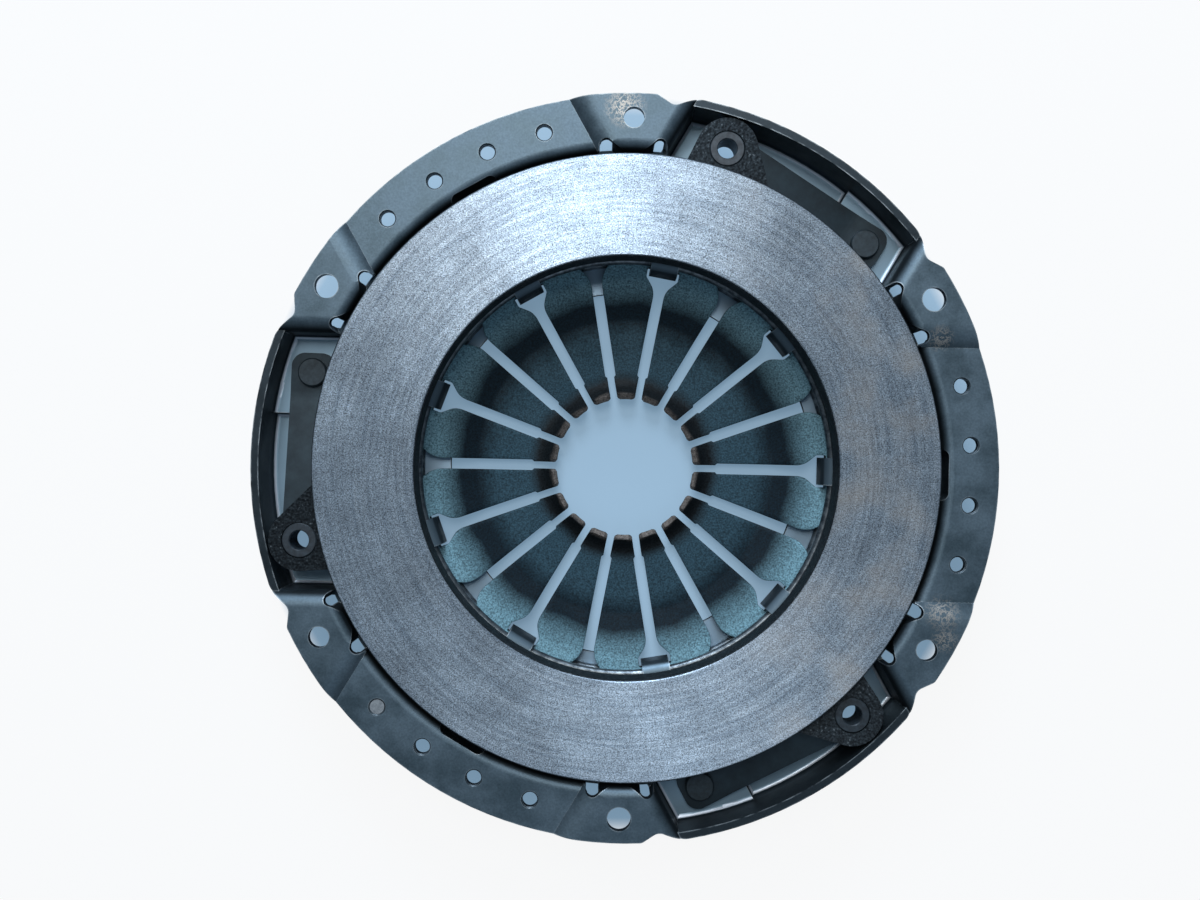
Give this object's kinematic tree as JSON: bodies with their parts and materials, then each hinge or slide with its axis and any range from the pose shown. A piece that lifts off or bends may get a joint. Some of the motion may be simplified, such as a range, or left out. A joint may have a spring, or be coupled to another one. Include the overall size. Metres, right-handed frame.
{
  "type": "clutch pressure plate",
  "caption": "Diaphragm spring clutch cover assembly: pressed cover with bolting feet, cast pressure plate on straps, slotted disc spring.",
  "frame": {"origin": "on the clutch axis, in the plane of the faces of the six bolting feet that meet the flywheel", "axes": "+Z along the clutch axis towards the flywheel; +X through the middle of a recessed rim sector"},
  "size_m": [0.29, 0.2886, 0.038],
  "materials": {
    "cover_sheet": "dark phosphated and oiled pressed steel",
    "cast_ring": "fine turned cast iron",
    "spring_steel": "shot peened, oiled spring steel",
    "wire_ring": "drawn wire",
    "strap_steel": "blued strip steel",
    "dark_rivet": "dark phosphated steel",
    "lug_rivet": "dark steel",
    "bright_rivet": "bright zinc plated steel"
  },
  "bodies": {
    "cover_body": {"cover": "cover_sheet", "fulcrum_ring_flywheel_side": "wire_ring", "fulcrum_ring_cover_side": "wire_ring", "cover_rivet_1": "dark_rivet", "cover_rivet_2": "dark_rivet", "cover_rivet_3": "dark_rivet", "balance_rivet": "bright_rivet", "strap_1_leaf_1": "strap_steel", "strap_1_leaf_2": "strap_steel", "strap_1_leaf_3": "strap_steel", "strap_2_leaf_1": "strap_steel", "strap_2_leaf_2": "strap_steel", "strap_2_leaf_3": "strap_steel", "strap_3_leaf_1": "strap_steel", "strap_3_leaf_2": "strap_steel", "strap_3_leaf_3": "strap_steel"},
    "plate_body": {"pressure_plate": "cast_ring", "lug_rivet_1": "lug_rivet", "lug_rivet_2": "lug_rivet", "lug_rivet_3": "lug_rivet"},
    "spring_body": {"diaphragm_spring": "spring_steel"}
  },
  "joints": [
    {"name": "plate_travel", "type": "slide", "parent": "cover_body", "child": "plate_body", "axis": [0, 0, -1], "range_m": [0, 0.008], "stiffness_N_per_m": 30000, "springref_m": -0.003, "deforming": ["strap_1_leaf_1", "strap_1_leaf_2", "strap_1_leaf_3", "strap_2_leaf_1", "strap_2_leaf_2", "strap_2_leaf_3", "strap_3_leaf_1", "strap_3_leaf_2", "strap_3_leaf_3"]},
    {"name": "finger_travel", "type": "slide", "parent": "cover_body", "child": "spring_body", "axis": [0, 0, 1], "range_m": [0, 0.016], "deforming": ["diaphragm_spring"]}
  ],
  "couplings": [
    {"joint": "finger_travel", "follows": "plate_travel", "ratio": 2}
  ]
}
